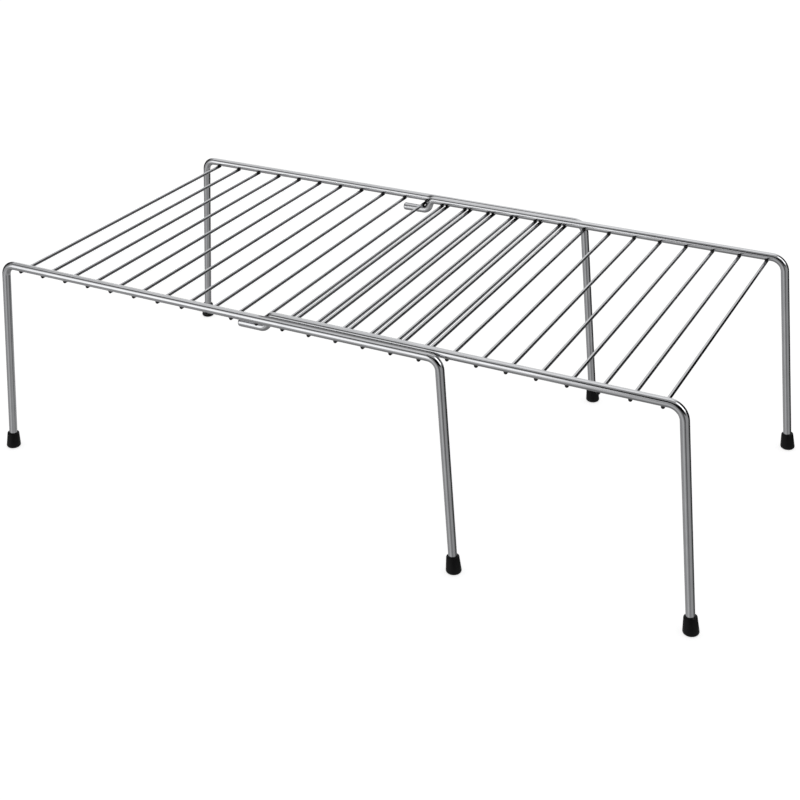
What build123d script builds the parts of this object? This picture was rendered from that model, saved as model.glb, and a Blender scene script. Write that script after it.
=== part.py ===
"""Extendable wire shelf riser: two nested wire frames on six rubber feet.

The outer frame has a leg at each of its four corners. The inner frame has legs at its right end
only. Its rails lie between the outer rails and rest on the outer cross wires, and a hook at the
left end of each inner rail passes under one outer cross wire.

Millimetres. +X runs along the shelf towards the inner frame's legs, +Y to the rear, +Z up.
The origin is on the floor, in the middle of the footprint.
"""
from build123d import *
from math import cos, radians, sin, tan
import os

# ---- wire stock -------------------------------------------------------------------------------
rail_dia = 6.0            # bent wire of the rails and legs
cross_dia = 2.5           # straight cross wires
weld_sink = 0.7           # how far a cross wire is pressed into the rails when it is welded
cross_end = 1.0           # how far a cross wire runs past the middle of a rail
end_round = 0.6           # rounded edge of a cropped cross wire, under its plating

# ---- deck -------------------------------------------------------------------------------------
pitch = 20.0              # spacing of the cross wires, the same on both frames
outer_count = 17
inner_count = 14
outer_left_overhang = 13.2    # from the first outer cross wire to the corner of a rail and its leg
outer_right_overhang = 14.2   # the same after the last outer cross wire
inner_overhang = 12.6         # the same on the inner frame, at its right end
outer_rail_height = 152.8     # middle of the outer rails above the floor
outer_rail_spacing = 258.0    # between the middles of the outer rails

# ---- legs -------------------------------------------------------------------------------------
outer_bend_radius = 8.5   # middle of the wire, at an outer rail's corner
inner_bend_radius = 10.5  # the same on the inner frame
outer_splay = 5.0         # degrees that the outer frame's legs spread along X
inner_splay = 6.45        # degrees that the inner frame's legs spread along X
leg_lean = 1.5            # degrees that every leg leans outwards along Y

# ---- fit between the frames -------------------------------------------------------------------
slide_gap = 0.3           # between the inner rails and the outer frame, at the side and below
hooked_wire = 11          # outer cross wire that the hooks hold
lead_in = 16.7            # from the hooked wire to the inner frame's first cross wire

# ---- hooks ------------------------------------------------------------------------------------
hook_bend_radius = 5.2    # middle of the wire
hook_angle = 75.0         # steepest slope of the S-bend, degrees
hook_offset = 5.1         # from the hooked wire to the middle of the S-bend
tab_reach = 17.4          # from the hooked wire to the end of the tab
tab_round = 1.2           # rounded end of the tab

# ---- feet -------------------------------------------------------------------------------------
foot_height = 12.4
foot_top_radius = 4.35
foot_base_radius = 5.45
foot_base_round = 1.7
foot_top_round = 0.8
foot_floor = 2.5          # rubber under the end of the leg
foot_spare = 2.0          # length below the floor, cut away to leave a level base

# ---- worked out from the values above ---------------------------------------------------------
rail_radius = rail_dia / 2
cross_radius = cross_dia / 2
foot_taper = (foot_base_radius - foot_top_radius) / foot_height
below_floor = (4 * foot_base_radius, 4 * foot_base_radius, foot_height)
inner_rail_height = outer_rail_height + weld_sink + slide_gap
inner_rail_spacing = outer_rail_spacing - 2 * (rail_dia + slide_gap)
wire_below_rail = rail_radius - weld_sink + cross_radius
hook_drop = inner_rail_height - (outer_rail_height - wire_below_rail)
hook_drop += cross_radius + slide_gap + rail_radius
outer_foot_spread = outer_rail_height / cos(radians(leg_lean)) * tan(radians(outer_splay))
inner_foot_spread = inner_rail_height / cos(radians(leg_lean)) * tan(radians(inner_splay))

# Along X, first counted from the outer frame's first cross wire, then from the footprint's middle.
outer_span = (outer_count - 1) * pitch
inner_span = (inner_count - 1) * pitch
hooked_span = (hooked_wire - 1) * pitch
inner_right_end = hooked_span + lead_in + inner_span + inner_overhang
left_foot_end = -outer_left_overhang - outer_foot_spread
right_foot_end = inner_right_end + inner_foot_spread
outer_first_x = -(left_foot_end + right_foot_end) / 2
outer_left_x = outer_first_x - outer_left_overhang
outer_right_x = outer_first_x + outer_span + outer_right_overhang
hooked_x = outer_first_x + hooked_span
inner_first_x = hooked_x + lead_in
inner_right_x = outer_first_x + inner_right_end

sides = {"front": -1, "rear": 1}
pieces = []


def keep(builder, name):
    """Label a finished piece and list it for export."""
    builder.part.label = name
    pieces.append(builder.part)


def rail_plane(side, spacing, height):
    """Plane of a rail and its legs: local X along the rail, tipped so that the legs lean outwards."""
    lean = radians(leg_lean)
    origin = (0, side * spacing / 2, height)
    return Plane(origin=origin, x_dir=(1, 0, 0), z_dir=(0, -cos(lean), -side * sin(lean)))


def leg_drop(height, above_floor):
    """Distance down the rail's plane from a rail's middle to a height above the floor."""
    return (height - above_floor) / cos(radians(leg_lean))


# ---- outer rails: leg, rail and leg are one wire ----------------------------------------------
for side_name, side in sides.items():
    plane = rail_plane(side, outer_rail_spacing, outer_rail_height)
    drop = leg_drop(outer_rail_height, foot_floor)
    spread = drop * tan(radians(outer_splay))
    with BuildPart() as outer_rail:
        with BuildLine(plane) as outer_path:
            FilletPolyline(
                (outer_left_x - spread, -drop),
                (outer_left_x, 0),
                (outer_right_x, 0),
                (outer_right_x + spread, -drop),
                radius=outer_bend_radius,
            )
        with BuildSketch(Plane(origin=outer_path.line @ 0, z_dir=outer_path.line % 0)):
            Circle(rail_radius)
        sweep()
    keep(outer_rail, f"outer_{side_name}_rail")

# ---- inner rails: tab, S-bend, rail and leg are one wire --------------------------------------
for side_name, side in sides.items():
    plane = rail_plane(side, inner_rail_spacing, inner_rail_height)
    drop = leg_drop(inner_rail_height, foot_floor)
    spread = drop * tan(radians(inner_splay))
    s_half = hook_drop / 2 / tan(radians(hook_angle))
    with BuildPart() as inner_rail:
        with BuildLine(plane) as inner_path:
            FilletPolyline(
                (hooked_x - tab_reach, -hook_drop),
                (hooked_x + hook_offset - s_half, -hook_drop),
                (hooked_x + hook_offset + s_half, 0),
                (inner_right_x, 0),
                (inner_right_x + spread, -drop),
                radius=[hook_bend_radius, hook_bend_radius, inner_bend_radius],
            )
        with BuildSketch(Plane(origin=inner_path.line @ 0, z_dir=inner_path.line % 0)):
            Circle(rail_radius)
        sweep()
        fillet(inner_rail.faces().sort_by(Axis.X)[0].edges(), radius=tab_round)
    keep(inner_rail, f"inner_{side_name}_rail")


# ---- cross wires: pressed into the underside of both rails ------------------------------------
def cross_wire(name, x, rail_spacing, rail_height):
    """A straight wire along Y with a saddle where each rail has sunk into it."""
    half_length = rail_spacing / 2 + cross_end
    with BuildPart() as wire:
        with BuildSketch(Plane.XZ.offset(-half_length)):
            with Locations((x, rail_height - wire_below_rail)):
                Circle(cross_radius)
        extrude(amount=2 * half_length)
        fillet(wire.edges().filter_by(GeomType.CIRCLE), radius=end_round)
        with Locations(*[(x, side * rail_spacing / 2, rail_height) for side in sides.values()]):
            Cylinder(rail_radius, rail_dia, rotation=(0, 90, 0), mode=Mode.SUBTRACT)
    keep(wire, name)


for number in range(outer_count):
    wire_x = outer_first_x + number * pitch
    cross_wire(f"outer_cross_wire_{number + 1:02d}", wire_x, outer_rail_spacing, outer_rail_height)

for number in range(inner_count):
    wire_x = inner_first_x + number * pitch
    cross_wire(f"inner_cross_wire_{number + 1:02d}", wire_x, inner_rail_spacing, inner_rail_height)


# ---- feet: flared rubber caps pushed over the leg ends ----------------------------------------
def foot(name, side, end, corner_x, splay, spacing, height):
    """A cap in line with its leg, bored for the leg and flat where it stands on the floor."""
    plane = rail_plane(side, spacing, height)
    drop = leg_drop(height, 0)
    spread = drop * tan(radians(splay))
    corner = plane.from_local_coords(Vector(corner_x, 0, 0))
    base = plane.from_local_coords(Vector(corner_x + end * spread, -drop, 0))
    leg_line = Plane(origin=base, z_dir=corner - base)
    profile_plane = Plane(origin=base, x_dir=leg_line.x_dir, z_dir=-leg_line.y_dir)
    with BuildPart() as cap:
        with BuildSketch(profile_plane):
            with BuildLine():
                FilletPolyline(
                    (foot_base_radius + foot_spare * foot_taper, -foot_spare),
                    (foot_top_radius, foot_height),
                    (0, foot_height),
                    radius=foot_top_round,
                )
                Polyline(
                    (0, foot_height),
                    (0, -foot_spare),
                    (foot_base_radius + foot_spare * foot_taper, -foot_spare),
                )
            make_face()
        revolve(axis=Axis(base, leg_line.z_dir))
        with Locations(base):
            Box(*below_floor, align=(Align.CENTER, Align.CENTER, Align.MAX), mode=Mode.SUBTRACT)
        fillet(cap.faces().sort_by(Axis.Z)[0].edges(), radius=foot_base_round)
        with BuildSketch(leg_line.offset(foot_floor / leg_line.z_dir.Z)):
            Circle(rail_radius)
        extrude(amount=foot_height, mode=Mode.SUBTRACT)
    keep(cap, name)


for side_name, side in sides.items():
    outer_size = (outer_splay, outer_rail_spacing, outer_rail_height)
    inner_size = (inner_splay, inner_rail_spacing, inner_rail_height)
    foot(f"outer_{side_name}_left_foot", side, -1, outer_left_x, *outer_size)
    foot(f"outer_{side_name}_right_foot", side, 1, outer_right_x, *outer_size)
    foot(f"inner_{side_name}_foot", side, 1, inner_right_x, *inner_size)

# ---- export -----------------------------------------------------------------------------------
os.makedirs("parts", exist_ok=True)
for piece in pieces:
    export_step(piece, f"parts/{piece.label}.step")
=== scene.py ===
"""Looks of the extendable wire shelf riser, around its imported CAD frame.

Metres, +Z up, front at -Y.
"""

from math import cos, hypot, pi, radians, sin, tan

import bmesh
import bpy
from mathutils import Matrix, Vector


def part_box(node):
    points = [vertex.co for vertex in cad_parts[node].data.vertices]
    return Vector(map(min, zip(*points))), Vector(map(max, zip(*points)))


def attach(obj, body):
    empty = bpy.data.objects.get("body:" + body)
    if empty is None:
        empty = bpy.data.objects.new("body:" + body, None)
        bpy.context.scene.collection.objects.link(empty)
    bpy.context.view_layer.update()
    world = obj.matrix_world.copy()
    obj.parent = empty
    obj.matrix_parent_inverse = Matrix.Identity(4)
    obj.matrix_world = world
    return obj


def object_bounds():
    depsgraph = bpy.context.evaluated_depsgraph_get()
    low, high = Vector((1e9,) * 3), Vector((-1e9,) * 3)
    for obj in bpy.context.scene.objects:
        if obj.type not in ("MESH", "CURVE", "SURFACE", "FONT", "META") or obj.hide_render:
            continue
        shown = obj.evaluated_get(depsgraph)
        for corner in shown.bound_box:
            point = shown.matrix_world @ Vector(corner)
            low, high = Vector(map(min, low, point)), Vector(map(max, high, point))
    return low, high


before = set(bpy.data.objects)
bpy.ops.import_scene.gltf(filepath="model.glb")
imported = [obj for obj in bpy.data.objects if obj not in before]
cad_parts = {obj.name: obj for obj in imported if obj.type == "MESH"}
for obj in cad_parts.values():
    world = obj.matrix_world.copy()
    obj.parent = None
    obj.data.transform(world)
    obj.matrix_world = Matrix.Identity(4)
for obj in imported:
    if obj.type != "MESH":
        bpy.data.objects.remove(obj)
cad_low, cad_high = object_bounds()
middle = (cad_low + cad_high) / 2
scene_collection = bpy.context.scene.collection


def turned(right, up, back):
    """The rotation whose local X, Y and Z axes point along three vectors."""
    return Matrix((right, up, back)).transposed().to_4x4()


# ---- camera -----------------------------------------------------------------------------------
view_yaw = radians(27.26)       # the camera stands to the right of the front
view_pitch = radians(25.14)     # and looks down
view_roll = radians(-0.52)
view_distance = 1.0505
view_target = Vector((0.0006, 0, 0.106))
sensor_width = 36.0             # millimetres, as Blender has them
lens = 64.16
frame_shift = -0.1              # share of the picture's width


def add_camera():
    forward = Vector((
        -sin(view_yaw) * cos(view_pitch),
        cos(view_yaw) * cos(view_pitch),
        -sin(view_pitch),
    ))
    level_right = Vector((cos(view_yaw), sin(view_yaw), 0))
    level_up = level_right.cross(forward)
    right = cos(view_roll) * level_right + sin(view_roll) * level_up
    up = right.cross(forward)
    data = bpy.data.cameras.new("camera")
    data.sensor_width = sensor_width
    data.lens = lens
    data.shift_y = frame_shift
    data.clip_start = 0.01
    data.clip_end = 100
    camera = bpy.data.objects.new("camera", data)
    camera.matrix_world = turned(right, up, -forward)
    camera.location = view_target - forward * view_distance
    scene_collection.objects.link(camera)
    bpy.context.scene.camera = camera


# ---- node helpers -----------------------------------------------------------------------------
white = (1, 1, 1, 1)


def empty_material(name):
    material = bpy.data.materials.new(name)
    material.use_nodes = True
    material.node_tree.nodes.clear()
    return material


def add_node(tree, kind, settings=None, values=None, links=None):
    """A node with its settings, the values of its unlinked sockets, and the outputs linked to it."""
    node = tree.nodes.new("ShaderNode" + kind)
    for name, value in (settings or {}).items():
        setattr(node, name, value)
    for socket, value in (values or {}).items():
        node.inputs[socket].default_value = value
    for socket, output in (links or {}).items():
        tree.links.new(output, node.inputs[socket])
    return node


def multiply(tree, first, second):
    product = add_node(tree, "Math", {"operation": "MULTIPLY"}, links={0: first, 1: second})
    return product.outputs["Value"]


def distance_from(tree, value, centre):
    """How far a value lies from centre, on either side."""
    offset = add_node(tree, "Math", {"operation": "SUBTRACT"}, {1: centre}, {0: value})
    reach = add_node(tree, "Math", {"operation": "ABSOLUTE"}, links={0: offset.outputs["Value"]})
    return reach.outputs["Value"]


def ramp(tree, value, start, end):
    """A smooth step that is 0 at start and 1 at end, whichever of them is larger."""
    limits = {
        "From Min": min(start, end), "From Max": max(start, end),
        "To Min": float(start > end), "To Max": float(start < end),
    }
    step = add_node(tree, "MapRange", {"interpolation_type": "SMOOTHSTEP"}, limits, {"Value": value})
    return step.outputs["Result"]


def noise(tree, place, scale, detail, roughness):
    """A noise texture over the object's own coordinates, with scale in blobs per metre."""
    values = {"Scale": scale, "Detail": detail, "Roughness": roughness}
    texture = add_node(tree, "TexNoise", values=values, links={"Vector": place.outputs["Object"]})
    return texture.outputs["Fac"]


# ---- studio -----------------------------------------------------------------------------------
sky_glow = 0.4                  # the world's light, which the chrome shows between the cards
floor_size = 40.0
floor_grey = (0.8, 0.8, 0.8, 1)
floor_glow = 0.74
backdrop_radius = 18.0
backdrop_low = -0.5
backdrop_high = 30.0
backdrop_sides = 48
patch_size = 0.05
patch_glow = 0.7
patch_edge = 0.4
patch_height = -0.001           # just under the floor, which the chrome doesn't show

# Cards that show in the chrome alone: azimuth (from +X towards +Y), elevation, width and height, in
# degrees as seen from the shelf; strength; distance; and the share of the card over which it fades
# out at each edge. Where two cards overlap, the nearer one shows.
reflection_cards = {
    "front_left_softbox": (240, 6, 42, 47, 1.6, 2.6, 0.18),
    "low_left_fill": (252, -25, 36, 40, 0.62, 3.0, 0.25),
    "rear_left_softbox": (112, 27, 64, 68, 0.95, 2.7, 0.12),
    "overhead_softbox": (110, 74, 50, 40, 1.2, 2.8, 0.25),
    "top_left_fill": (172, 61, 84, 34, 0.85, 2.85, 0.25),
    "right_softbox": (0, 44, 28, 54, 2.6, 2.65, 0.16),
    "rear_right_flag": (44, 8, 74, 88, 0.005, 3.0, 0.14),
    "front_top_flag": (236, 48, 92, 22, 0.1, 2.8, 0.25),
    "front_right_flag": (270, 38, 34, 32, 0.01, 2.55, 0.22),
    "bend_flag": (312, 30, 74, 50, 0.002, 2.75, 0.14),
    "left_bend_flag": (172, 8, 66, 54, 0.02, 2.5, 0.12),
    "camera_flag": (297, 10, 40, 90, 0.12, 3.2, 0.25),
    "under_flag": (0, -89, 84, 84, 0.25, 3.3, 0.25),
    "right_low_flag": (14, -25, 30, 40, 0.12, 2.9, 0.25),
    "front_right_fill": (334, -20, 34, 44, 0.4, 2.9, 0.25),
}


def glow_material(name, strength):
    material = empty_material(name)
    tree = material.node_tree
    emission = add_node(tree, "Emission", values={"Color": white, "Strength": strength})
    add_node(tree, "OutputMaterial", links={"Surface": emission.outputs["Emission"]})
    return material


def soft_glow_material(name, strength, edge):
    """Shines fully in the middle of a card and fades out towards its edges."""
    material = empty_material(name)
    tree = material.node_tree
    place = add_node(tree, "TexCoord")
    split = add_node(tree, "SeparateXYZ", links={"Vector": place.outputs["Generated"]})
    fades = [ramp(tree, distance_from(tree, split.outputs[axis], 0.5), 0.5, 0.5 - edge) for axis in "XY"]
    clear = add_node(tree, "BsdfTransparent")
    emission = add_node(tree, "Emission", values={"Color": white, "Strength": strength})
    blend = add_node(tree, "MixShader", links={
        "Fac": multiply(tree, *fades), 1: clear.outputs["BSDF"], 2: emission.outputs["Emission"],
    })
    add_node(tree, "OutputMaterial", links={"Surface": blend.outputs["Shader"]})
    return material


def floor_material():
    """White paper, which glows a little so that only soft shadows show on it."""
    material = empty_material("floor")
    tree = material.node_tree
    shader = add_node(tree, "BsdfPrincipled", values={
        "Base Color": floor_grey, "Roughness": 1.0, "Specular IOR Level": 0.0,
        "Emission Color": white, "Emission Strength": floor_glow,
    })
    add_node(tree, "OutputMaterial", links={"Surface": shader.outputs["BSDF"]})
    return material


def mesh_object(name, points, faces, material):
    mesh = bpy.data.meshes.new(name)
    mesh.from_pydata(points, [], faces)
    mesh.materials.append(material)
    thing = bpy.data.objects.new(name, mesh)
    scene_collection.objects.link(thing)
    return thing


def sheet_object(name, width, height, material):
    """A flat rectangle on the XY plane, facing +Z."""
    corners = [(x * width / 2, y * height / 2, 0) for x, y in ((-1, -1), (1, -1), (1, 1), (-1, 1))]
    thing = mesh_object(name, corners, [(0, 1, 2, 3)], material)
    return thing


def only_seen_by(thing, camera=False, gloss=False):
    thing.visible_camera = camera
    thing.visible_glossy = gloss
    thing.visible_diffuse = False
    thing.visible_shadow = False
    thing.visible_transmission = False


def add_card(name, azimuth, elevation, width, height, strength, distance, edge):
    """A reflection card, turned to face the middle of the shelf."""
    turn = radians(azimuth)
    rise = radians(elevation)
    direction = Vector((cos(turn) * cos(rise), sin(turn) * cos(rise), sin(rise)))
    side = Vector((-sin(turn), cos(turn), 0))
    card_width = 2 * distance * tan(radians(width / 2))
    card_height = 2 * distance * tan(radians(height / 2))
    card = sheet_object(name, card_width, card_height, soft_glow_material(name, strength, edge))
    card.matrix_world = turned(-side, direction.cross(side), -direction)
    card.location = middle + direction * distance
    only_seen_by(card, gloss=True)


def add_backdrop():
    """A white drum with a lid round the studio, which only the camera sees."""
    points = []
    for z in (backdrop_low, backdrop_high):
        for i in range(backdrop_sides):
            turn = 2 * pi * i / backdrop_sides
            points.append((backdrop_radius * cos(turn), backdrop_radius * sin(turn), z))
    lid = tuple(range(backdrop_sides, 2 * backdrop_sides))
    faces = [lid]
    for i in range(backdrop_sides):
        j = (i + 1) % backdrop_sides
        faces.append((i, j, backdrop_sides + j, backdrop_sides + i))
    wall = mesh_object("backdrop", points, faces, glow_material("backdrop", 1.0))
    only_seen_by(wall, camera=True)


def add_table_patches():
    """The bright table close to each foot, as the chrome just above the foot shows it."""
    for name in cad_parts:
        if name.endswith("foot"):
            low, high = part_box(name)
            patch_name = name + "_table"
            glow = soft_glow_material(patch_name, patch_glow, patch_edge)
            patch = sheet_object(patch_name, patch_size, patch_size, glow)
            patch.location = ((low.x + high.x) / 2, (low.y + high.y) / 2, patch_height)
            only_seen_by(patch, gloss=True)


def add_studio():
    world = bpy.data.worlds.new("studio")
    world.use_nodes = True
    background = world.node_tree.nodes["Background"]
    background.inputs["Color"].default_value = white
    background.inputs["Strength"].default_value = sky_glow
    bpy.context.scene.world = world
    add_backdrop()
    floor = sheet_object("floor", floor_size, floor_size, floor_material())
    floor.visible_glossy = False
    for name, card in reflection_cards.items():
        add_card(name, *card)
    add_table_patches()


# ---- chrome -----------------------------------------------------------------------------------
rail_radius = 0.003
leg_top = 0.85 * cad_high.z     # below this the wire runs down a leg
rail_bottom = 0.93 * cad_high.z     # and above this along a rail

# Base colours, bright and dull, and roughness, smooth and rough, of the plate on each kind of metal.
# The welds' colours are painted shade.
rail_tones = ((0.62, 0.625, 0.64, 1), (0.56, 0.565, 0.58, 1))
rail_roughness = (0.09, 0.19)
cross_tones = ((0.6, 0.605, 0.62, 1), (0.53, 0.535, 0.55, 1))
cross_roughness = (0.1, 0.22)
# Painted shade: the welds are near black, standing in for the shadow under the rails.
shaded_weld_tones = ((0.1, 0.1, 0.103, 1), (0.05, 0.05, 0.051, 1))
weld_roughness = (0.16, 0.3)
# Painted shade at the cross wires' ends under the rails.
wire_shade_dark = (0.015, 0.015, 0.0155, 1)
# Painted shade along the gap between the two frames' rails.
gap_shade_dark = (0.12, 0.12, 0.123, 1)

# Textures, in blobs per metre, and the depth of their bumps.
line_along = 14
rail_line_across = 1500
cross_line_across = 2200
weld_grain = 1800
cloud_scale = 70.0
ripple_scale = 900.0
line_share = 0.6                # how much the drawing lines count beside the clouds
wear_limits = {"From Min": 0.55, "From Max": 1.05}
line_bump = {"Strength": 0.12, "Distance": 0.00004}
ripple_bump = {"Strength": 0.1, "Distance": 0.00006}

# Painted shade at the ends of the cross wires, where they run under the rails, as distances from
# the rail's inner flank towards the middle.
wire_shade_start = 0.004
wire_shade_full = 0.0005

# Painted shade on the outer rails, standing in for the dark gap between the two frames' rails: where it
# starts to show and where it is full, as distances from the middle of that gap. The front rail's shade
# reaches over its top, and the rear rail's stays on its flank.
front_gap_shade = (0.0045, 0.0034)
rear_gap_shade = (0.0022, 0.0018)
gap_shade_inset = 0.02                # from the hook or the leg's foot to the middle of the painted shade's end
gap_shade_fade = 0.002                # half the length over which it ends

outer_rail_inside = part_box("outer_rear_rail")[0].y
inner_rail_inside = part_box("inner_rear_rail")[0].y
inner_rail_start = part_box("inner_rear_rail")[0].x
gap_middle = (outer_rail_inside + inner_rail_inside + 2 * rail_radius) / 2
gap_shade_left = inner_rail_start + gap_shade_inset
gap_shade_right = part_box("outer_rear_rail")[1].x - gap_shade_inset


def streaks(tree, place, scale):
    """Fine drawing lines, long where the scale is small."""
    stretched = add_node(tree, "Mapping", {"vector_type": "POINT"}, {"Scale": scale},
                         {"Vector": place.outputs["Object"]})
    lines = add_node(tree, "TexNoise", values={"Scale": 1.0, "Detail": 4.0, "Roughness": 0.65},
                     links={"Vector": stretched.outputs["Vector"]})
    return lines.outputs["Fac"]


def rail_lines(tree, place):
    """Lines along X on the rails, turning to run down the legs."""
    along_rail = streaks(tree, place, (line_along, rail_line_across, rail_line_across))
    along_leg = streaks(tree, place, (rail_line_across, rail_line_across, line_along))
    split = add_node(tree, "SeparateXYZ", links={"Vector": place.outputs["Object"]})
    lines = add_node(tree, "Mix", {"data_type": "FLOAT"}, links={
        "Factor": ramp(tree, split.outputs["Z"], leg_top, rail_bottom), "A": along_leg, "B": along_rail,
    })
    return lines.outputs["Result"]


def cross_lines(tree, place):
    """Lines along Y."""
    return streaks(tree, place, (cross_line_across, line_along, cross_line_across))


def weld_lines(tree, place):
    """A weld has no drawing lines, only a fine grain."""
    return streaks(tree, place, (weld_grain, weld_grain, weld_grain))


def wire_shade_near_rails(rail_inside):
    """Painted shade towards both ends of a cross wire, under rails whose inner flanks are at
    rail_inside.
    """
    def wire_shading(tree, place):
        split = add_node(tree, "SeparateXYZ", links={"Vector": place.outputs["Object"]})
        reach = distance_from(tree, split.outputs["Y"], 0.0)
        return ramp(tree, reach, rail_inside - wire_shade_start, rail_inside - wire_shade_full)
    return wire_shading


def gap_shade(start, full):
    """Painted shade and dark reflection in the gap where the rails of the two frames slide side by side.
    """
    def rail_shading(tree, place):
        split = add_node(tree, "SeparateXYZ", links={"Vector": place.outputs["Object"]})
        reach = distance_from(tree, split.outputs["Y"], 0.0)
        mark = ramp(tree, distance_from(tree, reach, gap_middle), start, full)
        past_hook = ramp(tree, split.outputs["X"], gap_shade_left - gap_shade_fade, gap_shade_left + gap_shade_fade)
        before_leg = ramp(tree, split.outputs["X"], gap_shade_right + gap_shade_fade, gap_shade_right - gap_shade_fade)
        on_rail = ramp(tree, split.outputs["Z"], leg_top, rail_bottom)
        for limit in (past_hook, before_leg, on_rail):
            mark = multiply(tree, mark, limit)
        return mark
    return rail_shading


def chrome_material(name, lines_of, tones, roughness, dark_of=None, dark=None):
    """Bright plate over drawn wire: faint drawing lines, cloudy plate thickness and a slight ripple.

    dark_of gives how far the plate turns to the colour dark, as painted shade under or beside the rails.
    """
    material = empty_material(name)
    tree = material.node_tree
    place = add_node(tree, "TexCoord")
    lines = lines_of(tree, place)
    clouds = noise(tree, place, cloud_scale, 3.0, 0.5)
    ripple = noise(tree, place, ripple_scale, 2.0, 0.5)
    wear = add_node(tree, "Math", {"operation": "MULTIPLY_ADD"}, {1: line_share}, {0: lines, 2: clouds})
    tone = add_node(tree, "MapRange", values=wear_limits, links={"Value": wear.outputs["Value"]})
    colour = add_node(tree, "Mix", {"data_type": "RGBA"}, {"A": tones[0], "B": tones[1]},
                      {"Factor": tone.outputs["Result"]})
    if dark_of:
        colour = add_node(tree, "Mix", {"data_type": "RGBA"}, {"B": dark}, {
            "Factor": dark_of(tree, place), "A": colour.outputs["Result"],
        })
    polish = add_node(tree, "MapRange", values={
        **wear_limits, "To Min": roughness[0], "To Max": roughness[1],
    }, links={"Value": wear.outputs["Value"]})
    lined = add_node(tree, "Bump", values=line_bump, links={"Height": lines})
    rippled = add_node(tree, "Bump", values=ripple_bump, links={
        "Height": ripple, "Normal": lined.outputs["Normal"],
    })
    shader = add_node(tree, "BsdfPrincipled", values={"Metallic": 1.0}, links={
        "Base Color": colour.outputs["Result"], "Roughness": polish.outputs["Result"],
        "Normal": rippled.outputs["Normal"],
    })
    add_node(tree, "OutputMaterial", links={"Surface": shader.outputs["BSDF"]})
    return material


# The outer rails' materials carry painted shade along the gap between the two frames.
def rail_material(name, rail_shading=None):
    return chrome_material(name, rail_lines, rail_tones, rail_roughness, rail_shading, gap_shade_dark)


def cross_material(name, rail_inside):
    # Painted shade towards both ends of the wire, under the rails.
    wire_shading = wire_shade_near_rails(rail_inside)
    return chrome_material(name, cross_lines, cross_tones, cross_roughness, wire_shading, wire_shade_dark)


# ---- rubber -----------------------------------------------------------------------------------
rubber_dark = (0.0012, 0.0012, 0.0013, 1)
rubber_light = (0.004, 0.004, 0.0041, 1)
rubber_roughness = (0.42, 0.62)
grain_scale = 2600.0
grain_bump = {"Strength": 0.25, "Distance": 0.00006}
mottle_scale = 320.0
mottle_range = (0.35, 0.75)


def rubber_material():
    """Moulded rubber: very dark, with a fine grain and a little dust in its pores."""
    material = empty_material("rubber")
    tree = material.node_tree
    place = add_node(tree, "TexCoord")
    grain = noise(tree, place, grain_scale, 3.0, 0.6)
    mottle = noise(tree, place, mottle_scale, 3.0, 0.55)
    colour = add_node(tree, "ValToRGB", links={"Fac": mottle})
    stops = zip(colour.color_ramp.elements, mottle_range, (rubber_dark, rubber_light))
    for stop, position, tone in stops:
        stop.position = position
        stop.color = tone
    roughness = add_node(tree, "MapRange", values={
        "To Min": rubber_roughness[0], "To Max": rubber_roughness[1],
    }, links={"Value": mottle})
    bump = add_node(tree, "Bump", values=grain_bump, links={"Height": grain})
    shader = add_node(tree, "BsdfPrincipled", values={"Specular IOR Level": 0.16}, links={
        "Base Color": colour.outputs["Color"], "Roughness": roughness.outputs["Result"],
        "Normal": bump.outputs["Normal"],
    })
    add_node(tree, "OutputMaterial", links={"Surface": shader.outputs["BSDF"]})
    return material


# ---- painting ---------------------------------------------------------------------------------
def paint_nodes():
    """Gives every CAD piece its material."""
    rubber = rubber_material()
    inner_rail_chrome = rail_material("inner_rail_chrome")
    rail_chromes = {
        # The outer rails get painted shade along the gap between the two frames' rails.
        "outer_front_rail": rail_material("outer_front_rail_chrome", gap_shade(*front_gap_shade)),
        "outer_rear_rail": rail_material("outer_rear_rail_chrome", gap_shade(*rear_gap_shade)),
        "inner_front_rail": inner_rail_chrome,
        "inner_rear_rail": inner_rail_chrome,
    }
    # The cross wires get painted shade at their ends, under the rails.
    outer_cross_chrome = cross_material("outer_cross_chrome", outer_rail_inside)
    inner_cross_chrome = cross_material("inner_cross_chrome", inner_rail_inside)
    for name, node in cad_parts.items():
        node.data.materials.clear()
        if name.endswith("foot"):
            node.data.materials.append(rubber)
        elif name.endswith("rail"):
            node.data.materials.append(rail_chromes[name])
        elif name.startswith("outer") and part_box(name)[0].x < inner_rail_start:
            node.data.materials.append(outer_cross_chrome)
        else:
            node.data.materials.append(inner_cross_chrome)


# ---- welds ------------------------------------------------------------------------------------
end_round = 0.0006              # rounded edge of a cropped cross wire, as in the CAD
weld_reach = 0.0013             # how far a weld spreads from the joint, over the rail and the wire
weld_steps = 32                 # points round a weld
fillet_steps = 4                # points across its hollow face
weld_sink = 0.00006             # how deep the weld's edges lie in the metal
slope_step = 1e-6
seam_rounds = 30                # halvings in the search for the seam
settle_rounds = 6               # steps of a point towards a surface


def rail_distance(p):
    """Distance outside the rail's surface. The rail's middle is the origin, along X."""
    return hypot(p.y, p.z) - rail_radius


def wire_distance(p, radius, drop, end):
    """Distance outside a cross wire along Y, with its middle drop below and its rounded end at end."""
    across = hypot(p.x, p.z + drop) - (radius - end_round)
    along = p.y - (end - end_round)
    return min(max(across, along), 0.0) + hypot(max(across, 0.0), max(along, 0.0)) - end_round


def slope(distance, p):
    """Unit vector away from a surface at p."""
    steps = (Vector((slope_step, 0, 0)), Vector((0, slope_step, 0)), Vector((0, 0, slope_step)))
    return Vector([distance(p + s) - distance(p - s) for s in steps]).normalized()


def onto(distance, p, depth):
    """The point nearest to p that lies depth below a surface."""
    for _ in range(settle_rounds):
        p = p - slope(distance, p) * (distance(p) + depth)
    return p


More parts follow.
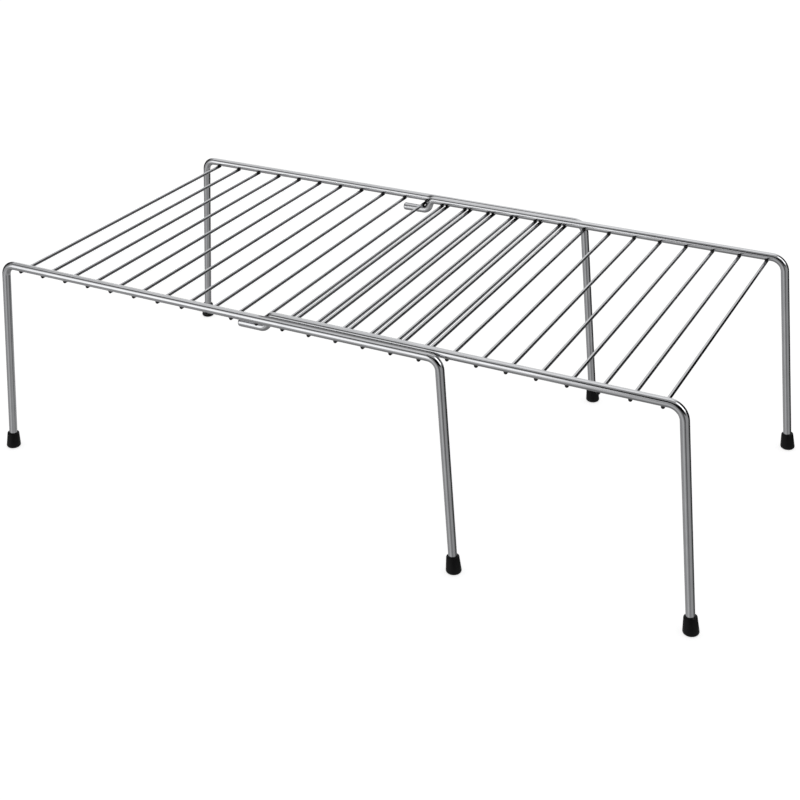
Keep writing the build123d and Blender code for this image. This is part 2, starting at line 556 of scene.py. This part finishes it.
def seam_point(turn, wire):
    """Where a cross wire's surface leaves the underside of the rail, in the direction turn."""
    near = 0.0
    far = rail_radius
    for _ in range(seam_rounds):
        reach = (near + far) / 2
        y = reach * sin(turn)
        p = Vector((reach * cos(turn), y, -(max(rail_radius ** 2 - y ** 2, 0.0)) ** 0.5))
        if wire(p) < 0:
            near = reach
        else:
            far = reach
    return p


def weld_section(p, wire):
    """Points across a weld at seam point p: its hollow face from rail to wire, and a buried corner."""
    from_rail = slope(rail_distance, p)
    from_wire = slope(wire, p)
    seam = from_rail.cross(from_wire).normalized()
    over_rail = seam.cross(from_rail)
    over_wire = from_wire.cross(seam)
    over_rail *= 1 if over_rail.dot(from_wire) > 0 else -1
    over_wire *= 1 if over_wire.dot(from_rail) > 0 else -1
    start = onto(rail_distance, p + over_rail * weld_reach, weld_sink)
    finish = onto(wire, p + over_wire * weld_reach, weld_sink)
    section = []
    for i in range(fillet_steps + 1):
        t = i / fillet_steps
        section.append((1 - t) ** 2 * start + 2 * t * (1 - t) * p + t ** 2 * finish)
    section.append(p - (over_rail + over_wire) * weld_reach / 2)
    return section


def weld_ring(radius, drop, end):
    """Sections round one weld, for a rail whose middle is the origin and whose outer side is +Y."""
    def wire(p):
        return wire_distance(p, radius, drop, end)

    turns = [2 * pi * step / weld_steps for step in range(weld_steps)]
    return [weld_section(seam_point(turn, wire), wire) for turn in turns]


def smooth_closed(thing):
    """Turns a closed mesh's faces outwards and shades them smooth."""
    work = bmesh.new()
    work.from_mesh(thing.data)
    bmesh.ops.recalc_face_normals(work, faces=work.faces)
    work.to_mesh(thing.data)
    work.free()
    thing.data.shade_smooth()


def add_welds(name, rail_name, wire_names, body, outer, material):
    """One piece with the welds of one rail. outer is 1 or -1, the way its outer side faces along Y."""
    # The legs lean outwards and downwards, so the rail is at the top and inner side of its box.
    rail_low, rail_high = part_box(rail_name)
    rail_z = rail_high.z - rail_radius
    rail_y = outer * (min(outer * rail_low.y, outer * rail_high.y) + rail_radius)
    first_low, first_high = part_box(wire_names[0])
    radius = (first_high.z - first_low.z) / 2
    ring = weld_ring(radius, rail_z - (first_low.z + radius), first_high.y - abs(rail_y))
    across = len(ring[0])
    points = []
    faces = []
    for wire_name in wire_names:
        wire_low, wire_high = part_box(wire_name)
        wire_x = (wire_low.x + wire_high.x) / 2
        first = len(points)
        for section in ring:
            points += [(wire_x + p.x, rail_y + outer * p.y, rail_z + p.z) for p in section]
        for i in range(weld_steps):
            here = first + i * across
            there = first + (i + 1) % weld_steps * across
            for j in range(across):
                side = (j + 1) % across
                faces.append((here + j, there + j, there + side, here + side))
    welds = mesh_object(name, points, faces, material)
    smooth_closed(welds)
    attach(welds, body)


def add_all_welds():
    # Painted shade: the welds' near-black plate stands in for the shadow under the rails.
    material = chrome_material("weld_chrome_painted_shade", weld_lines, shaded_weld_tones, weld_roughness)
    for part in ("outer", "inner"):
        wires = sorted(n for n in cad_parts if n.startswith(f"{part}_cross_wire"))
        for side, outer in (("front", -1), ("rear", 1)):
            rail_name = f"{part}_{side}_rail"
            add_welds(f"{part}_{side}_welds", rail_name, wires, f"{part}_frame", outer, material)


add_camera()
add_studio()
bpy.context.scene.view_settings.view_transform = "Standard"
paint_nodes()
add_all_welds()
